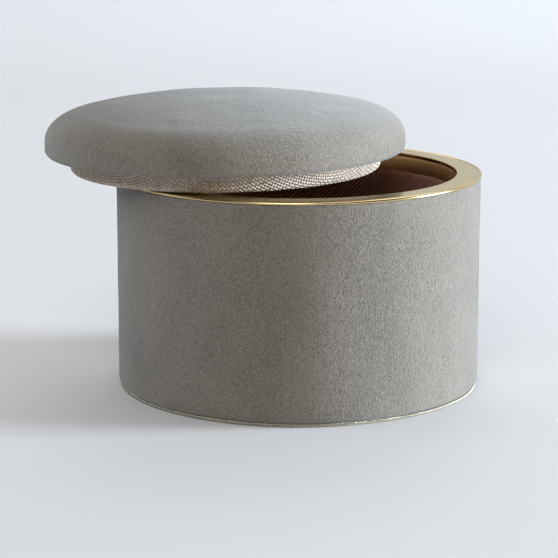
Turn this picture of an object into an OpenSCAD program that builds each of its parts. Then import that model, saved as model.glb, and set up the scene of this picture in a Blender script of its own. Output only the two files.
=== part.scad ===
// Round jewellery box: a velvet-covered drum with a brass rim and a padded lift-off lid.
// Z is up, the drum's axis is the Z axis, and the box stands on z = 0.
// The lid is off its seat: it leans on the rim, pushed to the left, so the box is half open.

/* [Drum] */
// Outer diameter of the brass rim, the widest part of the box
box_d = 180; // [160:1:200]
// Height of the box to the top of its rim, without the lid
box_h = 105.8; // [90:0.1:130]
// Thickness of the rigid drum wall
wall_t = 8.4; // [7:0.1:9]
// Thickness of the wadding under the drum's velvet
wadding_t = 0.8; // [0.4:0.1:1.2]
// Thickness of the velvet
velvet_t = 0.8; // [0.5:0.1:1.2]

/* [Rim] */
// Width of the rim's flat face
rim_w = 12.2; // [11.8:0.1:13]
// Thickness of the rim at its rounded outer edge
rim_t = 1.3; // [1:0.1:1.6]
// How far the rim's inner lip turns down
lip_h = 1.9; // [1.6:0.1:3]
// Height of the brass collar below the lip
collar_h = 7.9; // [6:0.1:12]

/* [Base] */
// Thickness of the board inside the drum's foot
base_board_t = 6; // [4:0.5:9]
// Diameter of the cord around the foot
braid_d = 1.64; // [1.5:0.02:1.7]

/* [Inside] */
// Thickness of the lining fabric
lining_t = 0.6; // [0.4:0.1:0.8]
// Thickness of the padded floor from the base board to its crown
floor_pad_h = 8.8; // [6:0.1:15]

/* [Lid] */
// Outer diameter of the padded lid
lid_d = 178.3; // [176:0.1:182]
// Thickness of the lid's board
lid_board_t = 6; // [4:0.5:6]
// Height of the lid's upright side above its lower corner
lid_side_h = 4.4; // [3:0.1:8]
// Width of the lid's soft shoulder, measured inwards
shoulder_w = 23.1; // [16:0.1:30]
// Height of the lid's soft shoulder
shoulder_h = 14.9; // [10:0.1:20]
// Sweep of the shoulder's curve before the flatter crown takes over
shoulder_sweep = 74.3; // [68:0.1:80]
// Diameter of the fabric-covered plug under the lid
plug_d = 153.2; // [150:0.1:154]
// Depth of the plug below the lid
plug_h = 8.9; // [6:0.1:9.6]

/* [Lid at rest] */
// How far the lid is pushed sideways along X
lid_shift_x = -36; // [-40:1:-30]
// How far the lid is pushed back along Y
lid_shift_y = 5.2; // [0:0.1:8]
// Lean of the lid, its right side up
lid_lean = 0.78; // [0.6:0.01:0.9]
// Height of the middle of the plug's underside over the rim
lid_gap = 0.94; // [0.94:0.01:1.5]

/* [Hidden] */
$fn = 96;
arc_steps = 8;      // points along each rounded corner
crown_steps = 10;   // points along the lid's crown
past = 1;           // how far a cutter runs past what it cuts

// Drum, from the outside inwards
rim_r = box_d / 2;
rim_overhang = 0.4;                       // the rim stands this far proud of the velvet
velvet_r = rim_r - rim_overhang;
wadding_r = velvet_r - velvet_t;
wall_r = wadding_r - wadding_t;
bore_r = wall_r - wall_t;                 // inside of the drum wall
rim_under_z = box_h - rim_t;              // underside of the rim
wall_top_z = rim_under_z - velvet_t;
hem_r = bore_r + 0.4;                     // raw edges of the drum's velvet end here

// Foot, from the ground up
felt_t = 0.6;
base_card_t = 1.15;
hem_z = felt_t + base_card_t;             // the velvet's lower hem lies on the base card
wall_z = hem_z + velvet_t;
braid_gap = 0.1;
braid_r = velvet_r - 0.6 - braid_d / 2;   // the cord sits just inside the velvet's face
braid_z = 0.08 + braid_d / 2;
base_card_r = braid_r - braid_d / 2 - braid_gap;
base_felt_r = base_card_r - 0.4;
floor_z = wall_z + base_board_t;

// Rim and collar
lip_r = rim_r - rim_w;
lip_t = 1;
lip_z = box_h - lip_h;
collar_setback = 0.6;                     // the collar lies this far behind the lip
collar_r = lip_r + collar_setback;
collar_z = lip_z - collar_h;

// Lining and padded floor
lining_r = collar_r;                      // the lining is flush with the collar
liner_card_r = lining_r + lining_t;
pad_r = lining_r - 0.2;
pad_core_r = pad_r - lining_t;
floor_card_t = 2;
pad_corner = 3;
pad_hem_r = pad_r - 14;
pad_top_z = floor_z + floor_pad_h;
floor_card_z = floor_z + lining_t;

// Lid and plug, measured from the middle of the plug's underside
plug_r = plug_d / 2;
plug_corner = 2;
plug_hem_r = plug_r - 16;
lid_r = lid_d / 2;
lid_corner = 2;
lid_hem_r = 68;
lid_board_r = lid_r - velvet_t - 1.8;     // a thin edge of foam wraps the board
lid_board_z = plug_h + velvet_t;
shoulder_z = plug_h + lid_corner + lid_side_h;

// Staples that hold the lid's velvet under its board
staple_count = 16;
staple_r = 72;
staple_crown = 10;
staple_wire = 0.6;
staple_leg = 5;

// Points of an arc about [x, z], from angle a to angle b
function arc(x, z, r, a, b, steps = arc_steps) =
    [for (i = [0 : steps]) let (t = a + (b - a) * i / steps) [x + r * cos(t), z + r * sin(t)]];

// Outline of the lid's upper side, drawn in by inset: corner, side, shoulder and crown
function lid_outline(inset) =
    let (
        w = shoulder_w - inset,
        h = shoulder_h - inset,
        middle = lid_r - shoulder_w,
        join = [middle + w * cos(shoulder_sweep), shoulder_z + h * sin(shoulder_sweep)],
        slope = atan(h / (w * tan(shoulder_sweep))),
        crown = join[0] / sin(slope),
        crown_z = join[1] - crown * cos(slope)
    )
    concat(
        arc(lid_r - lid_corner, plug_h + lid_corner, lid_corner - inset, -90, 0),
        [for (i = [0 : 2 * arc_steps]) let (t = shoulder_sweep * i / (2 * arc_steps))
            [middle + w * cos(t), shoulder_z + h * sin(t)]],
        [for (i = [1 : crown_steps]) let (t = slope * (1 - i / crown_steps))
            [crown * sin(t), crown_z + crown * cos(t)]]
    );

// Outline of a disc's outer side with a rounded corner at its foot
function plug_outline(inset) =
    arc(plug_r - plug_corner, plug_corner, plug_corner - inset, -90, 0);

// Outline of the floor pad's outer side with a rounded upper corner
function pad_outline(inset) =
    arc(pad_r - pad_corner, pad_top_z - pad_corner, pad_corner - inset, 0, 90);

function backwards(points) = [for (i = [len(points) - 1 : -1 : 0]) points[i]];

// A ring or tube between two radii and two heights
module ring(r_out, r_in, z_low, z_high) {
    translate([0, 0, z_low]) difference() {
        cylinder(h = z_high - z_low, r = r_out);
        translate([0, 0, -past]) cylinder(h = z_high - z_low + 2 * past, r = r_in);
    }
}

module disc(r, z_low, z_high) {
    translate([0, 0, z_low]) cylinder(h = z_high - z_low, r = r);
}

// Puts a part of the lid where the lid leans on the rim
module on_rim() {
    translate([lid_shift_x, lid_shift_y, box_h + lid_gap]) rotate([0, -lid_lean, 0]) children();
}

// One staple: a flat crown and two legs, its crown facing down
module staple() {
    translate([-staple_wire / 2, -staple_crown / 2, 0])
        cube([staple_wire, staple_crown, staple_wire]);
    for (side = [-1, 1])
        translate([-staple_wire / 2, side * (staple_crown - staple_wire) / 2 - staple_wire / 2, 0])
            cube([staple_wire, staple_wire, staple_leg]);
}

module staples() {
    for (i = [0 : staple_count - 1])
        rotate([0, 0, i * 360 / staple_count]) translate([staple_r, 0, plug_h]) staple();
}

// Felt that the box stands on
module base_felt() {
    color("dimgray") disc(base_felt_r, 0, felt_t);
}

// Card that closes the foot and hides the velvet's lower hem
module base_card() {
    color("gray") disc(base_card_r, felt_t, hem_z);
}

// Metallic cord laid into the corner between the base card and the velvet
module base_braid() {
    color("lightgoldenrodyellow")
        translate([0, 0, braid_z]) rotate_extrude() translate([braid_r, 0]) circle(d = braid_d);
}

// Round board glued inside the foot of the drum
module base_board() {
    color("burlywood") {
        disc(bore_r, wall_z, floor_z);
        disc(hem_r, hem_z, wall_z);
    }
}

module drum_wall() {
    color("burlywood") ring(wall_r, bore_r, wall_z, wall_top_z);
}

module drum_wadding() {
    color("white") ring(wadding_r, wall_r, wall_z, wall_top_z);
}

// Velvet around the drum, turned in over the top of the wall and under its foot
module drum_velvet() {
    color("rosybrown") rotate_extrude() polygon([
        [hem_r, hem_z], [velvet_r, hem_z], [velvet_r, rim_under_z], [hem_r, rim_under_z],
        [hem_r, wall_top_z], [wadding_r, wall_top_z], [wadding_r, wall_z], [hem_r, wall_z]
    ]);
}

// Brass rim: a flat face with a round outer edge and a lip turned down inside
module rim_ring() {
    color("gold") rotate_extrude() {
        translate([lip_r, rim_under_z]) square([rim_w - rim_t / 2, rim_t]);
        translate([rim_r - rim_t / 2, box_h - rim_t / 2]) circle(d = rim_t);
        translate([lip_r, lip_z]) square([lip_t, lip_h]);
    }
}

// Brass band inside the mouth, which the lid's plug slides into
module collar_band() {
    color("goldenrod") ring(bore_r, collar_r, collar_z, lip_z);
}

module liner_card() {
    color("gray") ring(bore_r, liner_card_r, floor_z, collar_z - lining_t);
}

// Lining fabric over the card, turned over the card's top edge
module wall_lining() {
    color("brown") rotate_extrude() polygon([
        [lining_r, floor_z], [liner_card_r, floor_z], [liner_card_r, collar_z - lining_t],
        [bore_r, collar_z - lining_t], [bore_r, collar_z], [lining_r, collar_z]
    ]);
}

module floor_card() {
    color("gray") disc(pad_core_r, floor_card_z, floor_card_z + floor_card_t);
}

module floor_foam() {
    color("white") rotate_extrude() polygon(concat(
        [[0, floor_card_z + floor_card_t], [pad_core_r, floor_card_z + floor_card_t]],
        pad_outline(lining_t),
        [[0, pad_top_z - lining_t]]
    ));
}

// Lining fabric over the floor's foam, turned in under its card
module floor_lining() {
    color("brown") rotate_extrude() polygon(concat(
        [[pad_hem_r, floor_z], [pad_r, floor_z]],
        pad_outline(0),
        [[0, pad_top_z], [0, pad_top_z - lining_t]],
        backwards(pad_outline(lining_t)),
        [[pad_core_r, floor_card_z], [pad_hem_r, floor_card_z]]
    ));
}

module plug_board() {
    color("burlywood") on_rim() rotate_extrude() polygon(concat(
        [[0, lining_t]],
        plug_outline(lining_t),
        [[plug_r - lining_t, plug_h - lining_t], [0, plug_h - lining_t]]
    ));
}

// Woven fabric over the plug's underside and edge, turned in on top of its board
module plug_fabric() {
    color("tan") on_rim() rotate_extrude() polygon(concat(
        [[0, lining_t], [0, 0]],
        plug_outline(0),
        [[plug_r, plug_h], [plug_hem_r, plug_h], [plug_hem_r, plug_h - lining_t],
            [plug_r - lining_t, plug_h - lining_t]],
        backwards(plug_outline(lining_t))
    ));
}

module lid_staples() {
    color("silver") on_rim() staples();
}

module lid_board() {
    color("burlywood") on_rim() difference() {
        disc(lid_board_r, lid_board_z, lid_board_z + lid_board_t);
        staples();
    }
}

// Foam that fills the lid between its board and its velvet
module lid_foam() {
    color("white") on_rim() rotate_extrude() polygon(concat(
        [[lid_board_r, lid_board_z + lid_board_t], [lid_board_r, lid_board_z]],
        lid_outline(velvet_t),
        [[0, lid_board_z + lid_board_t]]
    ));
}

// Velvet drawn over the lid's foam and turned in under its board
module lid_velvet() {
    color("rosybrown") on_rim() difference() {
        rotate_extrude() polygon(concat(
            [[lid_hem_r, lid_board_z], [lid_hem_r, plug_h]],
            lid_outline(0),
            backwards(lid_outline(velvet_t))
        ));
        staples();
    }
}

base_felt();
base_card();
base_braid();
base_board();
drum_wall();
drum_wadding();
drum_velvet();
rim_ring();
collar_band();
liner_card();
wall_lining();
floor_card();
floor_foam();
floor_lining();
plug_board();
plug_fabric();
lid_staples();
lid_board();
lid_foam();
lid_velvet();
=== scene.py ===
# %% [markdown]
# # A round velvet jewellery box, half open
# The box is a drum covered in taupe velvet. A brass rim caps it, a brass collar lines its mouth, and
# a thick padded lid leans on the rim, pushed to the left. The hard parts come from a CAD model, which
# is loaded first and never moved. This script makes what the eye sees: cloth, weave, cord and metal.
# Everything is in metres, and the drum stands on z = 0 with its axis on the Z axis.

import math

import bmesh
import bpy
import numpy as np
from mathutils import Matrix, Vector, noise


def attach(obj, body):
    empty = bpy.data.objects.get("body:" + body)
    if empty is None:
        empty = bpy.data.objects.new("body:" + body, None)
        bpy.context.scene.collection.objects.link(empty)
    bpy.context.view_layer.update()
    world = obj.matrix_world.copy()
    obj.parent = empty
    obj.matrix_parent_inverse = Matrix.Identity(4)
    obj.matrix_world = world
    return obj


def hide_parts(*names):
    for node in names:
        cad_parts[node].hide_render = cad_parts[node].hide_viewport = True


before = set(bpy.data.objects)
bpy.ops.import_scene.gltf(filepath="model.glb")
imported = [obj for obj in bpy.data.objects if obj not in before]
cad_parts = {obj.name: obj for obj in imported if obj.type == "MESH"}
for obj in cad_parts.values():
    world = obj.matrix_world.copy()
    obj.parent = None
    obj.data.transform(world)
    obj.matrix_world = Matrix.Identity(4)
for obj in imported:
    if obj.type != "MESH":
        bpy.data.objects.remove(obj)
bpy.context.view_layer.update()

MM = 0.001
FULL_TURN = 2 * math.pi

# %% [markdown]
# ## Reading sizes off the frame
# Every soft piece has to sit exactly on the board or wall that carries it, so no radius is typed in
# here twice. A round CAD part keeps its size in its points: the nearest and furthest points from its
# axis give its two radii. The drum's axis is the Z axis. The lid leans a little, so its axis is read
# off the flat underside of its plug's board: the faces that look down give a direction and a middle.
# Typing the numbers in would be quicker, but then a change to the CAD would pull cloth and board apart.
# Only what those few sizes can't tell, such as how a corner is rounded, is a number in this script.

# %% Radii and heights of a round part
def points_of(node, place=Matrix.Identity(4)):
    """The points of a CAD part, seen from a place of our own."""
    into = place.inverted()
    return np.array([into @ v.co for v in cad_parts[node].data.vertices])


def round_sizes(node, place=Matrix.Identity(4)):
    """Inner radius, outer radius, lowest and highest point of a round part."""
    points = points_of(node, place)
    radii = np.hypot(points[:, 0], points[:, 1])
    heights = points[:, 2]
    return radii.min(), radii.max(), heights.min(), heights.max()


def underside_place(node):
    """A place in the middle of a part's flat underside, its Z axis along the part's own."""
    facing, middle, area = Vector(), Vector(), 0.0
    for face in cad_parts[node].data.polygons:
        if face.normal.z < -0.999:
            facing += face.normal * face.area
            middle += face.center * face.area
            area += face.area
    up = -facing.normalized()
    side = (Vector((1, 0, 0)) - up * up.x).normalized()
    turn = Matrix((side, up.cross(side), up)).transposed().to_4x4()
    return Matrix.Translation(middle / area) @ turn


lip_r, rim_r, lip_low, rim_top = round_sizes("rim_ring")
velvet_hem_r, velvet_r, velvet_low, velvet_top = round_sizes("drum_velvet")
wadding_r = round_sizes("drum_wadding")[1]
collar_r, bore_r, collar_low, collar_top = round_sizes("collar_band")
lining_r, _, lining_low, lining_top = round_sizes("wall_lining")
_, pad_r, pad_low, pad_top = round_sizes("floor_lining")
print("drum: rim radius %.1f mm, velvet radius %.1f mm, rim top at %.1f mm"
      % tuple(1000 * v for v in (rim_r, velvet_r, rim_top)))

# %% The lid's own place
board_place = underside_place("plug_board")
cloth_t = round_sizes("plug_fabric", board_place)[1] - round_sizes("plug_board", board_place)[1]
lid_place = board_place @ Matrix.Translation((0, 0, -cloth_t))
_, plug_r, _, plug_h = round_sizes("plug_fabric", lid_place)
lid_hem_r, lid_r, _, lid_top = round_sizes("lid_velvet", lid_place)
lean = math.degrees(math.acos(lid_place.col[2].z))
print("lid: radius %.1f mm, plug radius %.1f mm, %.1f mm thick in all, leaning %.2f degrees"
      % (1000 * lid_r, 1000 * plug_r, 1000 * lid_top, lean))

# %% [markdown]
# ## The camera
# A long lens from about a metre away looks down by twelve degrees, so the drum's sides stay almost
# parallel and its rim is a flat ellipse. A camera could be turned by three angles, but it is easier to
# say where it stands and what it looks at. The lamps are aimed by the same function.

# %% Place the camera
def aim(thing, place, target):
    thing.location = place
    thing.rotation_euler = (Vector(target) - Vector(place)).to_track_quat("-Z", "Y").to_euler()


CAMERA_PLACE = (0, -1.0343, 0.2773)
CAMERA_TARGET = (-0.0096, 0, 0.0510)

camera_data = bpy.data.cameras.new("camera")
camera_data.lens = 137.1
camera_data.sensor_width = 36
camera = bpy.data.objects.new("camera", camera_data)
bpy.context.scene.collection.objects.link(camera)
aim(camera, CAMERA_PLACE, CAMERA_TARGET)
bpy.context.scene.camera = camera
print("camera turned to", [round(math.degrees(turn), 1) for turn in camera.rotation_euler], "degrees")

# %% [markdown]
# ## Writing node trees as sums
# A node tree is a formula, but wiring it box by box hides the formula. The small class below lets a
# socket be added, multiplied and passed to sin() like a number, and each operation adds its node.
# The same class serves the shapes, in Geometry Nodes, and the surfaces, in shader nodes.

# %% A number that writes nodes
def wire(tree, value, slot):
    """Links a value to a socket, or sets the socket's own value if it is a plain one."""
    if isinstance(value, Value):
        tree.links.new(value.socket, slot)
    elif isinstance(value, bpy.types.NodeSocket):
        tree.links.new(value, slot)
    elif value is not None:
        slot.default_value = value


class Value:
    """A socket that can be used in sums."""

    def __init__(self, tree, socket):
        self.tree, self.socket = tree, socket

    def math(self, operation, *others):
        node = self.tree.nodes.new("ShaderNodeMath")
        node.operation = operation
        for value, slot in zip((self, *others), node.inputs):
            wire(self.tree, value, slot)
        return Value(self.tree, node.outputs[0])

    def __add__(self, other):
        return self.math("ADD", other)

    def __sub__(self, other):
        return self.math("SUBTRACT", other)

    def __mul__(self, other):
        return self.math("MULTIPLY", other)

    def __truediv__(self, other):
        return self.math("DIVIDE", other)

    def sin(self):
        return self.math("SINE")

    def cos(self):
        return self.math("COSINE")

    def at_most(self, other):
        return self.math("MINIMUM", other)

    def at_least(self, other):
        return self.math("MAXIMUM", other)


# %% Add nodes, take vectors apart and put them together
def add(tree, kind, inputs=None, **settings):
    """Adds a node with its settings, and fills its inputs by name or number."""
    node = tree.nodes.new(kind)
    for name, value in settings.items():
        setattr(node, name, value)
    for key, value in (inputs or {}).items():
        wire(tree, value, node.inputs[key])
    return node


def parts(tree, vector):
    """The three numbers of a vector."""
    node = add(tree, "ShaderNodeSeparateXYZ", {0: vector})
    return [Value(tree, s) for s in node.outputs]


def vector(tree, x, y, z):
    return add(tree, "ShaderNodeCombineXYZ", {0: x, 1: y, 2: z}).outputs[0]

# %% [markdown]
# ## Running a shape tree
# A shape tree has named inputs for its sizes. It is put on a small starting mesh as a modifier, its
# inputs are set by their sockets' identifiers, and the result is copied out as a plain mesh. The
# modifier could stay on the piece, but a plain mesh is what can be measured and bent, so what is left
# at the end is an ordinary piece with no modifier on it.

# %% Start and end a shape tree
KINDS = {float: "NodeSocketFloat", int: "NodeSocketInt"}


def shape_tree(name, **defaults):
    """A geometry tree with a Geometry input, named number inputs and a Material input."""
    tree = bpy.data.node_groups.new(name, "GeometryNodeTree")
    tree.interface.new_socket("Geometry", in_out="INPUT", socket_type="NodeSocketGeometry")
    for key, value in defaults.items():
        slot = tree.interface.new_socket(key, in_out="INPUT", socket_type=KINDS[type(value)])
        slot.default_value = value
    tree.interface.new_socket("Material", in_out="INPUT", socket_type="NodeSocketMaterial")
    tree.interface.new_socket("Geometry", in_out="OUTPUT", socket_type="NodeSocketGeometry")
    given = tree.nodes.new("NodeGroupInput")
    values = {s.name: Value(tree, s) for s in given.outputs if s.name}
    return tree, values


def finish_tree(tree, geometry, material):
    """Ends a tree: smooth faces, instances made real, material set."""
    smooth = add(tree, "GeometryNodeSetShadeSmooth", {"Geometry": geometry})
    real = add(tree, "GeometryNodeRealizeInstances", {"Geometry": smooth.outputs[0]})
    painted = add(tree, "GeometryNodeSetMaterial", {"Geometry": real.outputs[0], "Material": material})
    add(tree, "NodeGroupOutput", {0: painted.outputs[0]})


# %% Take a tree's mesh
def grow(name, tree, start, material, **sizes):
    """Runs a tree on a starting mesh and returns the result as a plain object."""
    seed_mesh = bpy.data.meshes.new(name + "_start")
    seed_mesh.from_pydata(*start)
    seedling = bpy.data.objects.new(name + "_start", seed_mesh)
    bpy.context.scene.collection.objects.link(seedling)
    modifier = seedling.modifiers.new("shape", "NODES")
    modifier.node_group = tree
    for item in tree.interface.items_tree:
        if item.in_out == "INPUT" and item.name in sizes:
            modifier[item.identifier] = sizes[item.name]
        elif item.in_out == "INPUT" and item.name == "Material":
            modifier[item.identifier] = material
    depsgraph = bpy.context.evaluated_depsgraph_get()
    mesh = bpy.data.meshes.new_from_object(seedling.evaluated_get(depsgraph))
    bpy.data.objects.remove(seedling)
    piece = bpy.data.objects.new(name, mesh)
    bpy.context.scene.collection.objects.link(piece)
    print(name, "has", len(mesh.vertices), "points and", len(mesh.polygons), "faces")
    return piece

# %% [markdown]
# ## Velvet
# Velvet is a short dense pile on a cloth back. Looked at square on, the light falls between the
# hairs and the cloth is dark. Towards its edges the tips of the hairs catch the light, so it glows.
# Real hair would be the true way, but a drum this size would need millions of them, and they would
# not survive as a mesh. The sheen of the Principled shader gives the same glow for nothing. The pile
# is never combed quite even, so three noises tilt and tint it: the hairs themselves, the tufts they
# form, and the broad marks that hands leave.

# %% Helpers for every material
def new_material(name, color, roughness, metallic=0.0):
    """A material and its Principled shader, with the colour and gloss that it has all over."""
    material = bpy.data.materials.new(name)
    material.use_nodes = True
    shader = material.node_tree.nodes["Principled BSDF"]
    shader.inputs["Base Color"].default_value = (*color, 1)
    shader.inputs["Roughness"].default_value = roughness
    shader.inputs["Metallic"].default_value = metallic
    return material, shader


def place_on_piece(tree, stretch=(1, 1, 1)):
    """Coordinates that stay on the piece, squeezed by stretch along each axis."""
    spot = add(tree, "ShaderNodeTexCoord").outputs["Object"]
    return add(tree, "ShaderNodeMapping", {"Vector": spot, "Scale": stretch}).outputs[0]


def grain(tree, spot, scale, detail=2.0):
    """Noise of about 1 / scale metres."""
    node = add(tree, "ShaderNodeTexNoise", {"Vector": spot, "Scale": scale, "Detail": detail})
    return Value(tree, node.outputs[0])


def blend_colors(tree, factor, low, high):
    """A colour between two, by a factor from 0 to 1."""
    ramp = add(tree, "ShaderNodeValToRGB", {0: factor})
    ramp.color_ramp.elements[0].color = (*low, 1)
    ramp.color_ramp.elements[1].color = (*high, 1)
    return ramp


def bump(tree, height, depth, before=None):
    """A bump of a depth in metres; before is another bump that it lies on."""
    node = add(tree, "ShaderNodeBump", {"Height": height, "Distance": depth, "Normal": before})
    return node.outputs[0]


def tell(*materials):
    for material in materials:
        print(material.name, "has", len(material.node_tree.nodes), "nodes")


# %% Velvet
def velvet_material(name):
    material, shader = new_material(name, (0.187, 0.166, 0.141), 0.85)
    tree = material.node_tree
    pile = grain(tree, place_on_piece(tree, (1, 1, 0.55)), 2300, 1.0)
    tufts = grain(tree, place_on_piece(tree, (1, 1, 0.7)), 560)
    hands = grain(tree, place_on_piece(tree, (1, 1, 0.6)), 38, 3.0)
    tone = pile * 0.68 + tufts * 0.15 + hands * 0.17
    shade = blend_colors(tree, tone, (0.108, 0.095, 0.080), (0.266, 0.238, 0.203))
    shade.color_ramp.elements[0].position = 0.34
    shade.color_ramp.elements[1].position = 0.66
    wire(tree, shade.outputs[0], shader.inputs["Base Color"])
    soft = bump(tree, hands, 0.7 * MM)
    tufted = bump(tree, tufts, 0.3 * MM, soft)
    wire(tree, bump(tree, pile, 0.42 * MM, tufted), shader.inputs["Normal"])
    shader.inputs["Specular IOR Level"].default_value = 0.1
    shader.inputs["Sheen Weight"].default_value = 0.40
    shader.inputs["Sheen Roughness"].default_value = 0.5
    shader.inputs["Sheen Tint"].default_value = (0.86, 0.94, 1.0, 1)
    return material


velvet = velvet_material("taupe_velvet")
tell(velvet)

# %% [markdown]
# ## Brass
# The rim is turned and polished, then lacquered: it mirrors what is around it, softly, with fine
# rings left by the tool. Seen square on it is a deep yellow, and at a glancing angle the lacquer makes
# it paler, which the shader's specular tint sets apart from its colour. The collar inside is rolled
# from sheet and left satin, so it is rougher, and it looks darker because it mostly mirrors the inside
# of the box. The rings could be an image, but noise that reads the distance from the axis is sharp at
# any distance and needs no file.

# %% Brass, polished and satin
def brass_material(name, color, edge_color, roughness, ring_depth):
    """Turned metal: color is seen square on, and edge_color at a glancing angle."""
    material, shader = new_material(name, color, roughness, metallic=1.0)
    shader.inputs["Specular Tint"].default_value = (*edge_color, 1)
    tree = material.node_tree
    x, y, z = parts(tree, place_on_piece(tree))
    from_axis = (x * x + y * y).math("SQRT")
    rings = grain(tree, vector(tree, from_axis, z, 0.0), 2600, 1.0)
    cloud = grain(tree, place_on_piece(tree), 45)
    wire(tree, cloud * 0.12 + (roughness - 0.06), shader.inputs["Roughness"])
    wire(tree, bump(tree, rings, ring_depth), shader.inputs["Normal"])
    return material


rim_brass = brass_material("polished_brass", (0.72, 0.55, 0.29), (0.60, 0.60, 0.575), 0.2, 0.004 * MM)
collar_brass = brass_material("satin_brass", (0.93, 0.71, 0.38), (1.0, 0.9, 0.7), 0.34, 0.01 * MM)
tell(rim_brass, collar_brass)

# %% [markdown]
# ## The lining's cloth
# The lining is a dark brown ribbed cloth. Its ribs are real geometry, so the material only adds the
# threads on them and darkens the grooves, where little light gets in. The shader could work the ribs
# out again from coordinates, but each point of the mesh already keeps its own rib height, and reading
# that keeps the dark exactly in the grooves.

# %% Ribbed lining
def lining_material(name, rib):
    """Ribbed cloth: rib gives 0 in a groove and 1 on a ridge, and shade is painted into the grooves."""
    material, shader = new_material(name, (0.15, 0.062, 0.04), 0.7)
    tree = material.node_tree
    fibres = grain(tree, place_on_piece(tree), 2400)
    # painted shade: the grooves take the near-black colour, the ridges the brown one
    shade = blend_colors(tree, rib(tree) * 0.62 + fibres * 0.38, (0.034, 0.012, 0.008), (0.46, 0.20, 0.125))
    shade.color_ramp.elements[0].position = 0.12
    shade.color_ramp.elements[1].position = 0.92
    wire(tree, shade.outputs[0], shader.inputs["Base Color"])
    wire(tree, bump(tree, fibres, 0.1 * MM), shader.inputs["Normal"])
    shader.inputs["Sheen Weight"].default_value = 0.2
    shader.inputs["Sheen Roughness"].default_value = 0.5
    return material


def rib_on_mesh(tree):
    """The height that the ribbed mesh keeps in each of its points."""
    return Value(tree, add(tree, "ShaderNodeAttribute", attribute_name="rib").outputs["Fac"])


brown_lining = lining_material("brown_ribbed_lining", rib_on_mesh)
tell(brown_lining)

# %% [markdown]
# ## Yarn and foil thread
# The plug's cloth is woven from flat pale yarns, and each yarn is a bundle of fibres that run along
# it. A noise in plain object coordinates would cut across the yarns, so this one reads how far along
# its yarn each point lies. The foot's cord is spun from metallic foil thread, which glitters because
# each scrap of foil faces another way: one fast noise tilts and tints it.

# %% Yarn and foil cord
def yarn_material(name, low, high):
    """Flat yarn: fibres run along it, read from the numbers stored on its own mesh."""
    material, shader = new_material(name, high, 0.6)
    tree = material.node_tree
    along = Value(tree, add(tree, "ShaderNodeAttribute", attribute_name="along").outputs["Fac"])
    across = Value(tree, add(tree, "ShaderNodeAttribute", attribute_name="across").outputs["Fac"])
    fibres = grain(tree, vector(tree, along * 250.0, across * 6.0, 0.0), 1.0)
    patches = grain(tree, place_on_piece(tree), 380)
    shade = blend_colors(tree, fibres * 0.6 + patches * 0.4, low, high)
    shade.color_ramp.elements[0].position = 0.32
    shade.color_ramp.elements[1].position = 0.66
    wire(tree, shade.outputs[0], shader.inputs["Base Color"])
    wire(tree, bump(tree, fibres, 0.08 * MM), shader.inputs["Normal"])
    shader.inputs["Sheen Weight"].default_value = 0.3
    return material


def foil_cord_material(name):
    material, shader = new_material(name, (0.85, 0.79, 0.6), 0.26, metallic=0.75)
    tree = material.node_tree
    glitter = grain(tree, place_on_piece(tree), 1900, 1.0)
    shade = blend_colors(tree, glitter, (0.40, 0.34, 0.2), (1.0, 0.96, 0.82))
    wire(tree, shade.outputs[0], shader.inputs["Base Color"])
    wire(tree, bump(tree, glitter, 0.05 * MM), shader.inputs["Normal"])
    return material


warp_yarn = yarn_material("pale_yarn", (0.38, 0.29, 0.22), (0.84, 0.72, 0.60))
weft_yarn = yarn_material("beige_yarn", (0.28, 0.205, 0.15), (0.70, 0.575, 0.465))
foil_cord = foil_cord_material("foil_cord")
tell(warp_yarn, weft_yarn, foil_cord)

# %% [markdown]
# ## The hidden materials
# Board, card, wadding, foam, felt and staples hardly show, but anyone who takes the box apart sees
# them. One flat colour for each would do, but even dull stuff has a grain, so a single noise gives
# each of them its specks and its bump. These parts keep their CAD shapes: only the finish is set.

# %% Finish the hidden parts
def speckled_material(name, low, high, scale, depth, roughness=0.85, metallic=0.0):
    """A plain material with one noise for both its colour and its bump."""
    material, shader = new_material(name, high, roughness, metallic)
    tree = material.node_tree
    specks = grain(tree, place_on_piece(tree), scale)
    wire(tree, blend_colors(tree, specks, low, high).outputs[0], shader.inputs["Base Color"])
    wire(tree, bump(tree, specks, depth), shader.inputs["Normal"])
    return material


fibreboard = speckled_material("fibreboard", (0.30, 0.20, 0.12), (0.52, 0.38, 0.25), 900, 0.06 * MM)
grey_card = speckled_material("grey_card", (0.22, 0.21, 0.20), (0.36, 0.35, 0.33), 1200, 0.04 * MM)
white_wadding = speckled_material("white_wadding", (0.62, 0.61, 0.58), (0.85, 0.84, 0.80), 500, 0.3 * MM)
foam = speckled_material("cream_foam", (0.60, 0.56, 0.42), (0.82, 0.78, 0.64), 1300, 0.3 * MM)
felt = speckled_material("dark_felt", (0.02, 0.019, 0.018), (0.07, 0.066, 0.062), 1600, 0.2 * MM)
staple_wire = speckled_material("staple_wire", (0.42, 0.42, 0.43), (0.66, 0.66, 0.67), 700, 0.01 * MM,
                                roughness=0.35, metallic=1.0)
# a near-black sheet under the plug's yarns: painted shade in the gaps between them
painted_gap_shade = speckled_material("painted_gap_shade", (0.02, 0.012, 0.008), (0.06, 0.036, 0.024), 1500, 0.1 * MM)

HIDDEN = {
    "base_felt": felt, "base_card": grey_card, "liner_card": grey_card, "floor_card": grey_card,
    "base_board": fibreboard, "drum_wall": fibreboard, "plug_board": fibreboard, "lid_board": fibreboard,
    "drum_wadding": white_wadding, "floor_foam": foam, "lid_foam": foam, "lid_staples": staple_wire,
}
for node, material in HIDDEN.items():
    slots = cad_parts[node].data.materials
    slots.clear()
    slots.append(material)
print("finished", len(HIDDEN), "hidden parts")
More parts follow.
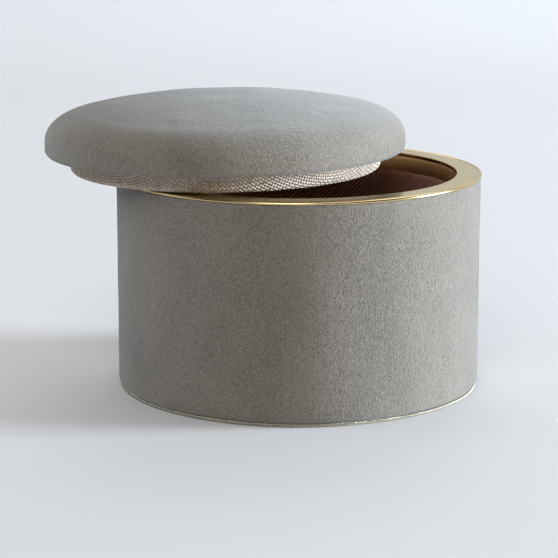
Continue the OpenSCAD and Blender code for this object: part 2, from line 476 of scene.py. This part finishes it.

# %% [markdown]
# ## The turned pieces
# Rim, collar, drum velvet, lining, floor pad, lid and the dark sheet of painted shade under the plug's
# yarns are all outlines turned round an axis. Blender has a Screw modifier and a Spin tool for that,
# but a lathe as a node tree serves them all and can do one thing more. A grid has one column for each
# step of the turn and one row for each point of the outline. A grid point finds its outline point by
# its row, and is then swung round by its column. Lean tilts the columns, for a cloth whose ribs run
# slantwise round the wall.

# %% The lathe
def lathe_tree():
    tree, given = shape_tree("lathe", Segments=96, Lean=0.0)
    size = add(tree, "GeometryNodeAttributeDomainSize", {"Geometry": given["Geometry"]}, component="MESH")
    rows = Value(tree, size.outputs["Point Count"])
    grid = add(tree, "GeometryNodeMeshGrid", {"Vertices X": given["Segments"] + 1, "Vertices Y": rows})
    index = Value(tree, add(tree, "GeometryNodeInputIndex").outputs[0])
    row = index.math("MODULO", rows)
    column = (index / rows).math("FLOOR")
    position = add(tree, "GeometryNodeInputPosition").outputs[0]
    found = add(tree, "GeometryNodeSampleIndex",
                {"Geometry": given["Geometry"], "Index": row.math("ROUND")}, data_type="FLOAT_VECTOR")
    wire(tree, position, found.inputs["Value"])
    radius, _, height = parts(tree, found.outputs[0])
    angle = column / given["Segments"] * FULL_TURN + height * given["Lean"]
    turned = vector(tree, radius * angle.cos(), radius * angle.sin(), height)
    moved = add(tree, "GeometryNodeSetPosition", {"Geometry": grid.outputs[0], "Position": turned})
    welded = add(tree, "GeometryNodeMergeByDistance", {"Geometry": moved.outputs[0], "Distance": 1e-7})
    finish_tree(tree, welded.outputs[0], given["Material"])
    return tree


lathe = lathe_tree()
print("the lathe has", len(lathe.nodes), "nodes")


# %% Turn an outline
def face_outwards(piece):
    """Closes doubled points and turns every face of a closed piece outwards."""
    work = bmesh.new()
    work.from_mesh(piece.data)
    bmesh.ops.remove_doubles(work, verts=work.verts, dist=1e-7)
    bmesh.ops.recalc_face_normals(work, faces=work.faces)
    work.to_mesh(piece.data)
    work.free()
    return piece


def turned(name, outline, material, segments=240, closed=True, lean=0.0):
    """Turns an outline of (radius, height) points round the Z axis."""
    points = [(r, 0, z) for r, z in outline]
    if closed:
        points.append(points[0])
    piece = grow(name, lathe, (points, [], []), material, Segments=segments, Lean=lean)
    return face_outwards(piece)


# %% Draw an outline from arcs and lines
def arc(x, z, radius, start, end, steps=6):
    """Points of an arc about (x, z), between two angles in degrees."""
    turns = [math.radians(start + (end - start) * i / steps) for i in range(steps + 1)]
    return [(x + radius * math.cos(t), z + radius * math.sin(t)) for t in turns]


def line(start, end, steps):
    """Points along a straight line, its far end left out."""
    return [(start[0] + (end[0] - start[0]) * i / steps, start[1] + (end[1] - start[1]) * i / steps)
            for i in range(steps)]


print("an arc of 90 degrees has", len(arc(0, 0, 1, 0, 90)), "points")

# %% [markdown]
# ## The brass rim
# The rim is one brass ring that caps the wall and hides the velvet's raw edge. Its flat face falls
# very slightly outwards, its outer edge is rolled into a small bead, and a fine groove parts the two,
# which is where the bright line comes from. Inside, the sheet is turned down into a lip. A bevelled
# tube would give the flat ring but not the groove, so the whole section is drawn as an outline. Metal
# edges are never quite sharp, so each corner is a small arc that catches the light.

# %% Turn the rim
def rim_outline():
    bead_r = 0.65 * MM
    edge = 0.25 * MM
    lip_t = 1.0 * MM
    face_start = lip_r + 1.2 * MM
    under = rim_top - 2 * bead_r
    bead_x = rim_r - bead_r
    groove_x = bead_x - bead_r * 0.95
    return (
        arc(lip_r + edge, rim_top - edge, edge, 180, 90, 4)
        + line((face_start, rim_top), (groove_x - 0.3 * MM, rim_top - 0.05 * MM), 6)
        + [(groove_x, rim_top - 0.3 * MM)]
        + arc(bead_x, rim_top - bead_r, bead_r, 150, -90, 14)
        + [(lip_r + lip_t, under)]
        + arc(lip_r + lip_t - edge, lip_low + edge, edge, 0, -90, 3)
        + arc(lip_r + edge, lip_low + edge, edge, -90, -180, 3)
    )


rim = turned("BrassRim", rim_outline(), rim_brass, segments=360)

# %% [markdown]
# ## The brass collar
# A strip of brass sheet is bent round and let into the mouth, just behind the lip. It guides the
# plug of the lid, and the lining's folded edge butts against it from below. It could be a plain tube,
# but a tube's square edge shows no line of light, so the two edges that face the mouth are eased with
# small arcs.

# %% Turn the collar
def collar_outline():
    ease = 0.2 * MM
    return (
        arc(collar_r + ease, collar_low + ease, ease, 180, 270, 3)
        + [(bore_r, collar_low), (bore_r, collar_top)]
        + arc(collar_r + ease, collar_top - ease, ease, 90, 180, 3)
    )


collar = turned("BrassCollar", collar_outline(), collar_brass, segments=360)

# %% [markdown]
# ## The drum's velvet
# One strip of velvet is stretched round the drum and glued down. It is turned in over the wall's top,
# under the rim, and under the foot. Over the foot's edge it rolls softly, since the pile is thicker
# than the edge is sharp. Cloth that is glued to a wall can't move, so a simulation would only find the
# wall again, and the lathe gives the same shape at once. The wadding under it isn't quite even, which
# a broad, shallow noise gives: a tenth of a millimetre is enough for the light to find.

# %% Turn and ease the velvet
def drum_velvet_outline():
    thick = velvet_r - wadding_r
    low, high = velvet_low, velvet_top
    roll = 1.6 * MM
    tuck = 0.7 * MM
    return (
        [(velvet_hem_r, low), (velvet_r - 4 * MM, low)]
        + arc(velvet_r - roll, low + roll, roll, -90, 0, 8)
        + line((velvet_r, low + 4 * MM), (velvet_r, high - 2 * MM), 46)
        + arc(velvet_r - tuck, high - tuck, tuck, 0, 90, 5)
        + [(velvet_hem_r, high), (velvet_hem_r, high - thick), (wadding_r, high - thick)]
        + [(wadding_r, low + thick), (velvet_hem_r, low + thick)]
    )


def ease_surface(piece, depth, size, where, seed):
    """Moves points in or out by a smooth noise: depth and size in metres, where gives a share."""
    offset = Vector((seed, 2 * seed, 3 * seed))
    normals = [v.normal.copy() for v in piece.data.vertices]
    for point, normal in zip(piece.data.vertices, normals):
        share = where(point.co)
        if share > 0:
            point.co += normal * (share * depth * noise.noise(point.co / size + offset))


def on_drum_side(point):
    """1 on the drum's upright side, away from its rolled edges, and 0 elsewhere."""
    margin = 3 * MM
    on_side = math.hypot(point.x, point.y) > velvet_r - 0.3 * MM
    return 1.0 if on_side and velvet_low + margin < point.z < velvet_top - margin else 0.0


drum_velvet = turned("DrumVelvet", drum_velvet_outline(), velvet, segments=360)
ease_surface(drum_velvet, depth=0.22 * MM, size=22 * MM, where=on_drum_side, seed=7)

# %% [markdown]
# ## The stage
# The box stands on pale paper that runs far back and rises into a wall in one bend, as a sweep does
# in a studio, so no line shows behind it. A plane and a backdrop would meet in a corner. The sweep is
# only there to be stood on, and it isn't part of the box.

# %% The paper sweep
def add_floor(material):
    """A wide floor that curves up into a wall behind the box."""
    half_width = 3.0
    flat_back = 1.15
    bend_r = 0.9
    wall_top = 1.9
    outline = [(-half_width, 0.0), (flat_back, 0.0)]
    outline += [(flat_back + y, z) for y, z in arc(0, bend_r, bend_r, -84, 0, 14)]
    outline += [(flat_back + bend_r, wall_top)]
    mesh = bpy.data.meshes.new("floor")
    points = [(side * half_width, y, z) for y, z in outline for side in (-1, 1)]
    faces = [(2 * i, 2 * i + 1, 2 * i + 3, 2 * i + 2) for i in range(len(outline) - 1)]
    mesh.from_pydata(points, [], faces)
    mesh.polygons.foreach_set("use_smooth", [True] * len(faces))
    mesh.materials.append(material)
    floor = bpy.data.objects.new("floor", mesh)
    bpy.context.scene.collection.objects.link(floor)
    return floor


paper, _ = new_material("pale_paper", (0.62, 0.628, 0.647), 0.9)
floor = add_floor(paper)
print("the sweep has", len(floor.data.polygons), "faces")

# %% [markdown]
# ## The light
# The room is lit by a window on the right, low and near, so the drum's right side is bright and its
# left side falls away into shade, with a soft shadow on the floor to the left. A sun lamp would cut
# that shadow sharp, so every lamp here is a broad disc. Four weak ones stand in for the pale walls and
# ceiling, which throw some of the window's light back, and a faint world fills what is left.

# %% Lamps and world
def add_light(name, place, size, power, color):
    """A round soft lamp that is aimed at the middle of the box; size in metres, power in watts."""
    data = bpy.data.lights.new(name, "AREA")
    data.shape = "DISK"
    data.size = size
    data.energy = power
    data.color = color
    lamp = bpy.data.objects.new(name, data)
    bpy.context.scene.collection.objects.link(lamp)
    aim(lamp, place, BOX_MIDDLE)
    print("lamp %s: %.1f m across, %.0f W" % (name, size, power))


BOX_MIDDLE = (0, 0, 0.06)
add_light("window", (2.7, 0.0, 0.44), 1.0, 205, (0.83, 0.92, 1.0))
add_light("front_fill", (-0.4, -2.4, 2.0), 1.8, 42, (1.0, 0.96, 0.92))
add_light("left_fill", (-2.5, 0.2, 1.3), 1.8, 20, (0.9, 0.95, 1.0))
add_light("back_fill", (0.0, 1.6, 1.7), 1.6, 14, (1.0, 0.98, 0.95))
add_light("top_fill", (0.0, 0.0, 2.8), 2.4, 16, (1.0, 0.98, 0.95))

world = bpy.data.worlds.new("studio")
world.use_nodes = True
background = world.node_tree.nodes["Background"]
background.inputs["Color"].default_value = (0.80, 0.83, 0.88, 1)
background.inputs["Strength"].default_value = 0.05
bpy.context.scene.world = world
bpy.context.scene.view_settings.view_transform = "Standard"

# %% [markdown]
# ## The wall's lining
# The inside of the wall is lined with ribbed cloth on a card, and its ribs run slantwise, at 45
# degrees. A bump would do from afar, but it leaves the mesh bare, so here the ribs are real ridges.
# Ribs that cross an upright grid turn into stairs unless the grid is very fine. The trick is to lean
# the lathe's columns along the ribs: each rib then needs only six columns, and its ridge stays
# straight and clean. At the top the cloth is turned over its card, and there the ribs fade out.

# %% A tree that raises ribs
RIB_PITCH = 1.6 * MM
RIB_HEIGHT = 0.4 * MM


def store(tree, geometry, name, value, kind="FLOAT"):
    """Keeps a value with the points, so that it is still there when their order has changed."""
    node = add(tree, "GeometryNodeStoreNamedAttribute",
               {"Geometry": geometry, "Name": name, "Value": value}, data_type=kind)
    return node.outputs[0]


def rib_tree():
    """Raises ribs on the side that faces the axis, in step with leaning columns."""
    tree, given = shape_tree("ribs", Count=200, Lean=0.0, Height=0.0, Inside=0.0, Fold=0.0)
    x, y, z = parts(tree, add(tree, "GeometryNodeInputPosition").outputs[0])
    angle = y.math("ARCTAN2", x) - z * given["Lean"]
    wave = (angle * given["Count"]).cos()
    radius = (x * x + y * y).math("SQRT")
    facing = given["Inside"].math("GREATER_THAN", radius)
    fade = 1.2 * MM
    below_fold = ((given["Fold"] - z) / fade).at_least(0.0).at_most(1.0)
    ridge = (wave * 0.5 + 0.5) * facing * below_fold + (below_fold * -1.0 + 1.0) * 0.8
    lift = ridge * given["Height"] * facing / radius
    inwards = vector(tree, x * lift * -1.0, y * lift * -1.0, 0.0)
    # the rib height kept here also places the lining's painted groove shade
    marked = store(tree, given["Geometry"], "rib", ridge)
    moved = add(tree, "GeometryNodeSetPosition", {"Geometry": marked, "Offset": inwards})
    finish_tree(tree, moved.outputs[0], given["Material"])
    return tree


ribs = rib_tree()
print("the rib tree has", len(ribs.nodes), "nodes")

# %% Turn the lining and raise its ribs
def lining_outline():
    """Its face stands back by a rib's height, which the ribs then fill."""
    cloth = 0.6 * MM
    face = lining_r + RIB_HEIGHT
    fold = 0.28 * MM
    return (
        line((face, lining_low), (face, lining_top - fold), 34)
        + arc(face + fold, lining_top - fold, fold, 180, 90, 4)
        + [(bore_r, lining_top), (bore_r, lining_top - cloth)]
        + line((lining_r + cloth, lining_top - cloth), (lining_r + cloth, lining_low), 12)
        + [(lining_r + cloth, lining_low)]
    )


def as_start(piece):
    """A piece's mesh as a starting point for another tree."""
    mesh = piece.data
    start = ([v.co.copy() for v in mesh.vertices], [], [tuple(f.vertices) for f in mesh.polygons])
    bpy.data.objects.remove(piece)
    return start


rib_step = RIB_PITCH * math.sqrt(2)
rib_count = round(FULL_TURN * lining_r / rib_step)
rib_lean = -1 / lining_r
plain = turned("plain_lining", lining_outline(), brown_lining, segments=rib_count * 6, lean=rib_lean)
wall_lining = grow("WallLining", ribs, as_start(plain), brown_lining,
                   Count=rib_count, Lean=rib_lean, Height=RIB_HEIGHT,
                   Inside=lining_r + RIB_HEIGHT + 0.05 * MM, Fold=lining_top - 0.4 * MM)
print("the lining has", rib_count, "ribs")

# %% [markdown]
# ## The pad on the floor of the box
# A foam disc is wrapped in the same ribbed cloth and laid on the bottom. Foam gives a full, slightly
# crowned top, and the cloth pulls its edge round, so the lathe can turn it. Its ribs run straight
# across, as cloth on a flat thing does. The pad lies deep in the box where little light reaches it, so
# the material draws the ribs with a bump, at the same pitch as the real ones on the wall, and paints
# shade into their grooves.

# %% Turn the pad
def pad_outline():
    corner = 3.0 * MM
    lower_corner = 1.0 * MM
    crown = 0.8 * MM
    flat_r = pad_r - corner
    shoulder = pad_top - crown
    top = [(flat_r * (1 - i / 24), shoulder + crown * math.sin(math.pi / 2 * i / 24)) for i in range(25)]
    return (
        [(0.0, pad_low), (pad_r - lower_corner, pad_low)]
        + arc(pad_r - lower_corner, pad_low + lower_corner, lower_corner, -90, 0, 4)[1:]
        + arc(flat_r, shoulder - corner, corner, 0, 90, 8)
        + top[1:]
    )


def rib_across(tree):
    """The same ribs on a flat piece, as a wave across it."""
    x, y, _ = parts(tree, place_on_piece(tree))
    return ((x - y) * (FULL_TURN / rib_step)).cos() * 0.5 + 0.5


def ribbed_flat_material(name):
    """The lining's cloth on a flat piece, its ribs raised by a bump, with painted shade in the grooves."""
    material = lining_material(name, rib_across)
    tree = material.node_tree
    shader = tree.nodes["Principled BSDF"]
    fine = shader.inputs["Normal"].links[0].from_socket
    wire(tree, bump(tree, rib_across(tree), RIB_HEIGHT, fine), shader.inputs["Normal"])
    return material


floor_lining = ribbed_flat_material("brown_ribbed_floor")
tell(floor_lining)
floor_pad = turned("FloorPad", pad_outline(), floor_lining, closed=False, segments=160)

# %% [markdown]
# ## The cord round the foot
# Two plies of foil thread are twisted together, laid round the foot and glued into the corner under
# the velvet. Each ply is a bundle of five thinner threads. A plain ring with a twisted pattern would
# look smooth at its outline, and this outline is seen against the floor, so every thread is real. In
# the tree a thread is a ring of points that winds round its ply while the ply winds round the cord,
# which is two circles added to the ring round the foot. A whole number of turns closes each thread on
# itself, and all the sizes come from the thickness of the CAD ring.

# %% A tree that twists a cord
CORD_TWIST = 4.4 * MM


def cord_tree():
    """Threads twisted into plies, and plies into a ring of cord."""
    tree, given = shape_tree("twisted_cord", Samples=1500, Plies=2, Threads=5, Turns=100, Spins=300,
                             Ring=0.1, Height=0.0, Ply=0.0, Strand=0.0, Thick=0.0)
    count = given["Plies"] * given["Threads"]
    grid = add(tree, "GeometryNodeMeshGrid", {"Vertices X": count, "Vertices Y": given["Samples"]})
    index = Value(tree, add(tree, "GeometryNodeInputIndex").outputs[0])
    sample = index.math("MODULO", given["Samples"])
    thread = (index / given["Samples"]).math("FLOOR")
    ply = (thread / given["Threads"]).math("FLOOR")
    round_ring = sample / given["Samples"] * FULL_TURN
    round_cord = round_ring * given["Turns"] + ply / given["Plies"] * FULL_TURN
    round_ply = round_ring * given["Spins"] + thread / given["Threads"] * FULL_TURN
    out = given["Ply"] * round_cord.cos() + given["Strand"] * round_ply.cos() + given["Ring"]
    up = given["Ply"] * round_cord.sin() + given["Strand"] * round_ply.sin() + given["Height"]
    spot = vector(tree, out * round_ring.cos(), out * round_ring.sin(), up)
    moved = add(tree, "GeometryNodeSetPosition", {"Geometry": grid.outputs[0], "Position": spot})
    dots = add(tree, "GeometryNodeMeshToPoints", {"Mesh": moved.outputs[0]})
    threads = add(tree, "GeometryNodePointsToCurves",
                  {"Points": dots.outputs[0], "Curve Group ID": thread, "Weight": sample})
    rings = add(tree, "GeometryNodeSetSplineCyclic", {"Geometry": threads.outputs[0], "Cyclic": True})
    section = add(tree, "GeometryNodeCurvePrimitiveCircle", {"Resolution": 4, "Radius": given["Thick"]})
    tubes = add(tree, "GeometryNodeCurveToMesh",
                {"Curve": rings.outputs[0], "Profile Curve": section.outputs[0]})
    finish_tree(tree, tubes.outputs[0], given["Material"])
    return tree


twist = cord_tree()
print("the cord's tree has", len(twist.nodes), "nodes")

# %% Lay the cord round the foot
cord_in, cord_out, cord_low, cord_high = round_sizes("base_braid")
cord_size = cord_high - cord_low
cord_length = math.pi * (cord_in + cord_out)
foot_cord = grow("FootCord", twist, ([(0, 0, 0)], [], []), foil_cord,
                 Ring=(cord_in + cord_out) / 2, Height=(cord_low + cord_high) / 2,
                 Ply=cord_size * 0.29, Strand=cord_size * 0.09, Thick=cord_size * 0.12,
                 Turns=round(cord_length / CORD_TWIST), Spins=380, Samples=1600)
face_outwards(foot_cord)
print("the cord is %.0f mm long and %.2f mm thick" % (1000 * cord_length, 1000 * cord_size))

# %% [markdown]
# ## The lid's velvet
# A round piece of velvet is laid over foam, pulled tight and stapled under the board, so its form is
# set by the foam pushing out and the cloth holding it in. A turned outline alone looks machined. The
# cloth simulation gives the give and take of the real thing: the outline is turned a little too
# small, its hem is pinned, and pressure fills it. No point may end up more than a small step away
# from the outline, because the foam is firm. The crown is a shallow dome, and the shoulder is part
# of an ellipse that leaves it in the same direction, so no ring shows where they meet.

# %% The lid's outline
def lid_outline():
    """From the middle of the crown, over the shoulder and down the side, to the hem underneath."""
    corner = 2.0 * MM
    shoulder_w = 23.1 * MM
    shoulder_h = 14.9 * MM
    sweep = math.radians(74.3)
    slope = math.atan(shoulder_h / (shoulder_w * math.tan(sweep)))
    join_r = lid_r - shoulder_w + shoulder_w * math.cos(sweep)
    crown_r = join_r / math.sin(slope)
    crown_h = crown_r * (1 - math.cos(slope))
    waist_z = lid_top - crown_h - shoulder_h * math.sin(sweep)
    crown = [(crown_r * math.sin(slope * i / 22),
              lid_top - crown_r * (1 - math.cos(slope * i / 22))) for i in range(22)]
    shoulder = [(lid_r - shoulder_w + shoulder_w * math.cos(t), waist_z + shoulder_h * math.sin(t))
                for t in (sweep * (1 - i / 12) for i in range(12))]
    side = line((lid_r, waist_z), (lid_r, plug_h + corner), 3)
    turn_under = arc(lid_r - corner, plug_h + corner, corner, 0, -90, 5)
    hem = line((lid_r - corner, plug_h), (lid_hem_r, plug_h), 7)[1:] + [(lid_hem_r, plug_h)]
    return crown + shoulder + side + turn_under + hem


print("the lid's outline has", len(lid_outline()), "points")


# %% Fill the lid with a cloth simulation
def simulate_padding(piece, pinned, pressure, start_step, frames=20):
    """Runs the cloth simulation on a piece that starts a little too small, and returns its outline."""
    target = [v.co.copy() for v in piece.data.vertices]
    normals = [v.normal.copy() for v in piece.data.vertices]
    for point, normal in zip(piece.data.vertices, normals):
        share = 0.0 if pinned(point.co) else 1.0
        ripple = 0.3 * MM * noise.noise(point.co / (14 * MM))
        point.co -= normal * share * (start_step + ripple)
    group = piece.vertex_groups.new(name="pinned")
    group.add([v.index for v, at in zip(piece.data.vertices, target) if pinned(at)], 1.0, "REPLACE")
    cloth = piece.modifiers.new("cloth", "CLOTH")
    cloth.settings.vertex_group_mass = "pinned"
    cloth.settings.mass = 0.006
    cloth.settings.quality = 8
    cloth.settings.tension_stiffness = 60
    cloth.settings.compression_stiffness = 60
    cloth.settings.shear_stiffness = 20
    cloth.settings.bending_stiffness = 2
    cloth.settings.use_pressure = True
    cloth.settings.uniform_pressure_force = pressure
    cloth.settings.effector_weights.gravity = 0
    cloth.collision_settings.use_collision = False
    cloth.point_cache.frame_start = 1
    cloth.point_cache.frame_end = frames
    scene = bpy.context.scene
    for number in range(1, frames + 1):
        scene.frame_set(number)
    depsgraph = bpy.context.evaluated_depsgraph_get()
    filled = bpy.data.meshes.new_from_object(piece.evaluated_get(depsgraph))
    scene.frame_set(1)
    piece.modifiers.clear()
    piece.vertex_groups.clear()
    piece.data = filled
    return target


# %% Hold, thicken and pleat the cloth
def keep_near(piece, target, step):
    """Holds each point within a step of where the firm foam has it."""
    moves = []
    for point, at in zip(piece.data.vertices, target):
        move = point.co - at
        moves.append(move.length)
        if move.length > step:
            point.co = at + move.normalized() * step
    print("%s: the cloth ends up to %.2f mm from its outline" % (piece.name, 1000 * max(moves)))


def subdivide_and_thicken(piece, thickness):
    """One smooth subdivision, then a thickness on the inside."""
    smooth = piece.modifiers.new("smooth", "SUBSURF")
    smooth.levels = smooth.render_levels = 1
    solid = piece.modifiers.new("thickness", "SOLIDIFY")
    solid.thickness = thickness
    solid.offset = -1.0
    depsgraph = bpy.context.evaluated_depsgraph_get()
    piece.data = bpy.data.meshes.new_from_object(piece.evaluated_get(depsgraph))
    piece.modifiers.clear()


def gather(piece, outer_r, inner_r, height, depth, pleats, seed):
    """Raises uneven pleats on the flat underside, deeper towards the middle."""
    for point in piece.data.vertices:
        radius = math.hypot(point.co.x, point.co.y)
        if point.co.z > height or radius > outer_r:
            continue
        angle = math.atan2(point.co.y, point.co.x)
        wander = 6.6 * noise.noise((3 * math.cos(angle), 3 * math.sin(angle), seed))
        share = min(1.0, (outer_r - radius) / (outer_r - inner_r))
        point.co.z -= depth * share * (0.5 + 0.5 * math.cos(pleats * angle + wander))


def settle(piece, place):
    """Moves a piece's points to a place and leaves its object at the origin."""
    piece.data.transform(place)
    return piece


# %% Make the lid's velvet
FOAM_GIVE = 0.35 * MM
LID_VELVET_T = 0.8 * MM


def on_hem(point):
    return point.z < plug_h + 0.3 * MM


lid_velvet = turned("LidVelvet", lid_outline(), velvet, segments=144, closed=False)
lid_shape = simulate_padding(lid_velvet, on_hem, pressure=6.0, start_step=FOAM_GIVE)
keep_near(lid_velvet, lid_shape, FOAM_GIVE)
subdivide_and_thicken(lid_velvet, LID_VELVET_T)
gather(lid_velvet, outer_r=lid_r - 3 * MM, inner_r=plug_r - 2 * MM, height=plug_h + 0.9 * MM,
       depth=0.35 * MM, pleats=52, seed=4.2)
settle(face_outwards(lid_velvet), lid_place)
print("LidVelvet now has", len(lid_velvet.data.polygons), "faces")

# %% [markdown]
# ## The plug's woven cloth
# The plug that drops into the box is covered by one flat piece of plain weave, laid on the underside
# and pulled up round the side. The side is what the eye sees, and a bump looks painted there, because
# the yarns stand out from the edge like small scales. So every yarn is real. The pattern is worked
# out flat, as two sets of straight yarns that cross over and under, and every point is then wrapped
# round the edge: as far as the corner it stays flat, round the corner it follows an arc, and past it
# it climbs the side. A yarn has one point at each crossing and one midway between, which is just
# enough for its wave, and keeps a few hundred yarns light.

# %% Wrap a flat cloth round the plug
PLUG_CORNER = 2.0 * MM


def wrapped(tree, given, x, y, lift):
    """Where a point (x, y) of the flat cloth ends up on the plug, and which way is out there."""
    reach = (x * x + y * y).math("SQRT").at_least(1e-6)
    flat_r = given["Radius"] - given["Corner"]
    bend = ((reach - flat_r) / given["Corner"]).at_least(0.0).at_most(math.pi / 2)
    climb = (reach - flat_r - given["Corner"] * (math.pi / 2)).at_least(0.0)
    corner = given["Corner"] + lift
    radius = reach.at_most(flat_r) + corner * bend.sin()
    height = given["Corner"] - corner * bend.cos() + climb
    spot = vector(tree, x / reach * radius, y / reach * radius, height)
    outwards = vector(tree, x / reach * bend.sin(), y / reach * bend.sin(), bend.cos() * -1.0)
    return spot, outwards, reach


# %% A tree that weaves
def stored(tree, name, kind="FLOAT"):
    return add(tree, "GeometryNodeInputNamedAttribute", {"Name": name}, data_type=kind).outputs[0]


def weave_tree():
    """One set of yarns, cut to a disc and wrapped round the plug."""
    tree, given = shape_tree("weave", Count=121, Pitch=0.001, Turn=0.0, Phase=0.0, Lift=0.0,
                             Radius=0.07, Corner=0.002, Reach=0.08, Width=0.001, Thick=0.0004)
    samples = given["Count"] * 2 - 1
    grid = add(tree, "GeometryNodeMeshGrid", {"Vertices X": given["Count"], "Vertices Y": samples})
    index = Value(tree, add(tree, "GeometryNodeInputIndex").outputs[0])
    sample = index.math("MODULO", samples)
    yarn = (index / samples).math("FLOOR")
    middle = (given["Count"] - 1) / 2
    side = (yarn - middle) * given["Pitch"]
    along = (sample / 2 - middle) * given["Pitch"]
    x = along * given["Turn"].cos() - side * given["Turn"].sin()
    y = along * given["Turn"].sin() + side * given["Turn"].cos()
    lift = ((yarn + sample / 2) * math.pi + given["Phase"]).cos() * given["Lift"]
    spot, outwards, reach = wrapped(tree, given, x, y, lift)
    moved = add(tree, "GeometryNodeSetPosition", {"Geometry": grid.outputs[0], "Position": spot})
    kept = store(tree, moved.outputs[0], "yarn", yarn, "INT")
    kept = store(tree, kept, "along", along)
    kept = store(tree, kept, "outwards", outwards, "FLOAT_VECTOR")
    kept = store(tree, kept, "reach", reach)
    dots = add(tree, "GeometryNodeMeshToPoints", {"Mesh": kept})
    beyond = Value(tree, stored(tree, "reach")).math("GREATER_THAN", given["Reach"])
    cut = add(tree, "GeometryNodeDeleteGeometry", {"Geometry": dots.outputs[0], "Selection": beyond})
    yarns = add(tree, "GeometryNodePointsToCurves",
                {"Points": cut.outputs[0], "Curve Group ID": stored(tree, "yarn", "INT"),
                 "Weight": stored(tree, "along")})
    facing = add(tree, "GeometryNodeSetCurveNormal",
                 {"Curve": yarns.outputs[0], "Normal": stored(tree, "outwards", "FLOAT_VECTOR")},
                 mode="FREE")
    section = add(tree, "GeometryNodeCurvePrimitiveCircle", {"Resolution": 4, "Radius": 0.5})
    corner = Value(tree, add(tree, "GeometryNodeInputIndex").outputs[0])
    marked = store(tree, section.outputs[0], "across", corner)
    flat = add(tree, "GeometryNodeTransform",
               {"Geometry": marked, "Scale": vector(tree, given["Thick"], given["Width"], 1.0)})
    ribbons = add(tree, "GeometryNodeCurveToMesh",
                  {"Curve": facing.outputs[0], "Profile Curve": flat.outputs[0], "Fill Caps": True})
    finish_tree(tree, ribbons.outputs[0], given["Material"])
    return tree


weave = weave_tree()
print("the weave's tree has", len(weave.nodes), "nodes")

# %% Weave the two sets of yarns
def woven_yarns(name, tree, material, turn, phase):
    """One of the two sets of yarns; they differ in direction and in who is over at a crossing."""
    pitch = 1.4 * MM
    depth = 0.3 * MM
    corner = PLUG_CORNER
    radius = plug_r - depth
    reach = radius - corner + corner * math.pi / 2 + plug_h - depth - corner + 0.4 * MM
    piece = grow(name, tree, ([(0, 0, 0)], [], []), material,
                 Count=2 * math.ceil(reach / pitch) + 1, Pitch=pitch, Turn=math.radians(turn),
                 Phase=phase, Lift=0.16 * MM, Radius=radius, Corner=corner, Reach=reach,
                 Width=1.0 * MM, Thick=0.34 * MM)
    return settle(piece, lid_place @ Matrix.Translation((0, 0, depth)))


warp = woven_yarns("PlugWarp", weave, warp_yarn, 45, 0.0)
weft = woven_yarns("PlugWeft", weave, weft_yarn, 135, math.pi)

# %% The thin dark sheet under the yarns, painted shade in their gaps
def gap_shade_outline():
    """Both faces of a thin dark sheet under the yarns, which paints shade into the gaps between them."""
    sunk = 0.38 * MM
    inner = 0.58 * MM
    corner = 1.7 * MM
    outer_r = plug_r - sunk
    inner_r = plug_r - inner
    return (
        line((0.0, sunk), (outer_r - corner, sunk), 12)
        + arc(outer_r - corner, sunk + corner, corner, -90, 0, 6)
        + [(outer_r, plug_h), (inner_r, plug_h)]
        + arc(outer_r - corner, sunk + corner, corner - inner + sunk, 0, -90, 6)
        + [(0.0, inner)]
    )


plug_gap_shade = turned("PlugGapShade", gap_shade_outline(), painted_gap_shade, segments=160, closed=False)
settle(plug_gap_shade, lid_place)

# %% [markdown]
# ## Telling the frame what each piece is
# Each piece rides on the box or on the lid, is listed with a slot for its finish, and stands for the
# plain CAD part that it covers. The plug's dark sheet of painted shade and its two sets of yarns stand
# for one CAD part between them.
# The size each cloth was cut to is worked out below. It could be guessed, but it follows from what the
# cloth covers: velvet and lining are strips as long as the wall is round, and the plug's cloth is a
# disc that reaches over the underside, round the corner and up the side.

# %% Say what each piece is
PIECES = [
    (rim, "box", "rim_brass", "rim_ring"),
    (collar, "box", "collar_brass", "collar_band"),
    (drum_velvet, "box", "velvet", "drum_velvet"),
    (wall_lining, "box", "brown_lining", "wall_lining"),
    (floor_pad, "box", "brown_lining", "floor_lining"),
    (foot_cord, "box", "metallic_cord", "base_braid"),
    (lid_velvet, "lid", "velvet", "lid_velvet"),
    (plug_gap_shade, "lid", "woven_fabric", "plug_fabric"),
    (warp, "lid", "woven_fabric", "plug_fabric"),
    (weft, "lid", "woven_fabric", "plug_fabric"),
]
for piece, body, slot, node in PIECES:
    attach(piece, body)
    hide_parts(node)
print(len(PIECES), "pieces stand for", len({node for _, _, _, node in PIECES}), "CAD parts")

velvet_round = FULL_TURN * (wadding_r + velvet_r) / 2
velvet_hems = 2 * (velvet_r - velvet_hem_r)
velvet_top - velvet_low + velvet_hems
FULL_TURN * lining_r
lining_top - lining_low
cloth_r = plug_r - PLUG_CORNER + math.pi / 2 * PLUG_CORNER + plug_h - PLUG_CORNER
2 * cloth_r
2 * cloth_r
math.pi * cloth_r ** 2
print("the plug's cloth is a disc %.0f mm across" % (2000 * cloth_r))
